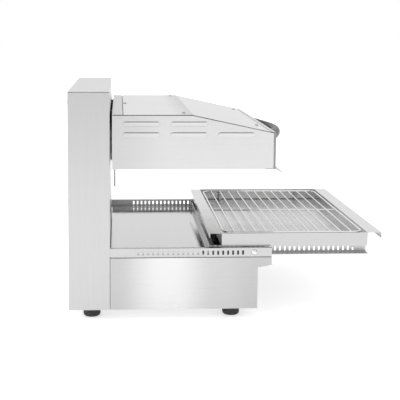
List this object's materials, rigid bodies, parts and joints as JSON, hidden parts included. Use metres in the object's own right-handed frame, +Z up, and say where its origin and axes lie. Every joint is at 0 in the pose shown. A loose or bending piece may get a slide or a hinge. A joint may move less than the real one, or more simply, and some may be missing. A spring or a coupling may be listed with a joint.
{
  "type": "lift salamander grill",
  "caption": "Countertop electric salamander grill: louvred hood on a counterbalanced lift column, slotted side rails, pull-out rack with drip tray and wire grid, rubber feet.",
  "frame": {"origin": "on the worktop, under the middle of the whole grill with its rack pulled out as at rest", "axes": "+X towards the operator, the way the rack pulls out; +Y across the width, to the operator's right hand side as seen from the front; +Z up"},
  "size_m": [0.744, 0.609, 0.53],
  "materials": {
    "stainless": "fine horizontal brushing, bright",
    "mirror_steel": "polished almost to a mirror",
    "rail_steel": "bright cold-rolled, lightly brushed",
    "bright_screw": "bright zinc-nickel",
    "chrome_wire": "bright chrome",
    "rubber_foot": "matt black",
    "handle_grip": "dark grey, satin, heat resistant",
    "knob_plastic": "satin black",
    "rocker_plastic": "translucent red, lit",
    "lamp_lens": "amber lens",
    "regulator_case": "dark phenolic",
    "terminal_ceramic": "white steatite ceramic, matt",
    "element_tube": "dark oxidised alloy sheath",
    "element_support": "heat-tinted stainless",
    "insulation_board": "ceramic fibre blanket, matt",
    "lift_steel": "zinc-plated grey",
    "arm_steel": "black satin",
    "ground_rod": "ground and polished",
    "bronze_bush": "sintered bronze",
    "pulley_nylon": "natural nylon",
    "rope_steel": "galvanised wire rope",
    "weight_iron": "painted cast iron"
  },
  "bodies": {
    "housing": {"column_side_left": "stainless", "column_side_right": "stainless", "base_side_left": "stainless", "base_side_right": "stainless", "gallery_left": "rail_steel", "gallery_right": "rail_steel", "column_front": "stainless", "column_cap": "stainless", "back_panel": "stainless", "casing_screws": "bright_screw", "base_pan": "stainless", "control_panel": "stainless", "deck": "mirror_steel", "stop_screws": "bright_screw", "feet": "rubber_foot", "regulators": "regulator_case", "lamps": "lamp_lens", "switch_housing": "knob_plastic", "terminal_block": "terminal_ceramic", "cable_gland": "knob_plastic", "guide_rods": "ground_rod", "rod_shelves": "lift_steel", "bearing_plates": "stainless", "shaft_bushes": "bronze_bush", "rope_bends": "rope_steel", "rope_hood_side": "rope_steel", "rope_weight_side": "rope_steel", "weight_channels": "lift_steel"},
    "hood": {"carriage": "lift_steel", "carriage_bushes": "bronze_bush", "lift_arms": "arm_steel", "hood_side_left": "stainless", "hood_side_right": "stainless", "hood_cover": "stainless", "hood_back": "stainless", "hood_fascia": "stainless", "hood_screws": "bright_screw", "hood_handle": "handle_grip", "handle_bolts": "bright_screw", "drip_lip": "stainless", "reflector": "mirror_steel", "insulation": "insulation_board", "heating_elements": "element_tube", "element_hangers": "element_support", "element_terminals": "terminal_ceramic", "probe_sleeve": "terminal_ceramic"},
    "pulley_set": {"pulleys": "pulley_nylon", "pulley_shaft": "ground_rod"},
    "counterweight": {"counterweight": "weight_iron", "weight_shoes": "pulley_nylon"},
    "rack": {"rack_rail_left": "rail_steel", "rack_rail_right": "rail_steel", "rack_bars": "rail_steel"},
    "tray": {"drip_tray": "stainless"},
    "grid": {"wire_grid": "chrome_wire"},
    "knob_a": {"knob_a": "knob_plastic", "spindle_a": "bright_screw"},
    "knob_b": {"knob_b": "knob_plastic", "spindle_b": "bright_screw"},
    "rocker": {"switch_rocker": "rocker_plastic"}
  },
  "joints": [
    {"name": "hood_lift", "type": "slide", "parent": "housing", "child": "hood", "axis": [0, 0, 1], "range_m": [-0.105, 0.01], "deforming": ["rope_hood_side"]},
    {"name": "weight_travel", "type": "slide", "parent": "housing", "child": "counterweight", "axis": [0, 0, 1], "range_m": [-0.01, 0.105], "deforming": ["rope_weight_side"]},
    {"name": "pulley_spin", "type": "hinge", "parent": "housing", "child": "pulley_set", "pos_m": [-0.3152, 0, 0.494], "axis": [0, 1, 0], "range_deg": [-30, 290]},
    {"name": "rack_slide", "type": "slide", "parent": "housing", "child": "rack", "axis": [1, 0, 0], "range_m": [-0.205, 0]},
    {"name": "tray_lift", "type": "slide", "parent": "rack", "child": "tray", "axis": [0, 0, 1], "range_m": [0, 0.015]},
    {"name": "grid_lift", "type": "slide", "parent": "tray", "child": "grid", "axis": [0, 0, 1], "range_m": [0, 0.012]},
    {"name": "knob_a_turn", "type": "hinge", "parent": "housing", "child": "knob_a", "pos_m": [0.08, 0.06, 0.0735], "axis": [1, 0, 0], "range_deg": [-270, 0]},
    {"name": "knob_b_turn", "type": "hinge", "parent": "housing", "child": "knob_b", "pos_m": [0.08, 0.17, 0.0735], "axis": [1, 0, 0], "range_deg": [-270, 0]},
    {"name": "rocker_tilt", "type": "hinge", "parent": "housing", "child": "rocker", "pos_m": [0.0785, -0.05, 0.0735], "axis": [0, 1, 0], "range_deg": [-8, 8]}
  ],
  "couplings": [
    {"joint": "weight_travel", "follows": "hood_lift", "ratio": -1},
    {"joint": "pulley_spin", "follows": "hood_lift", "rad_per_m": -47.619}
  ]
}
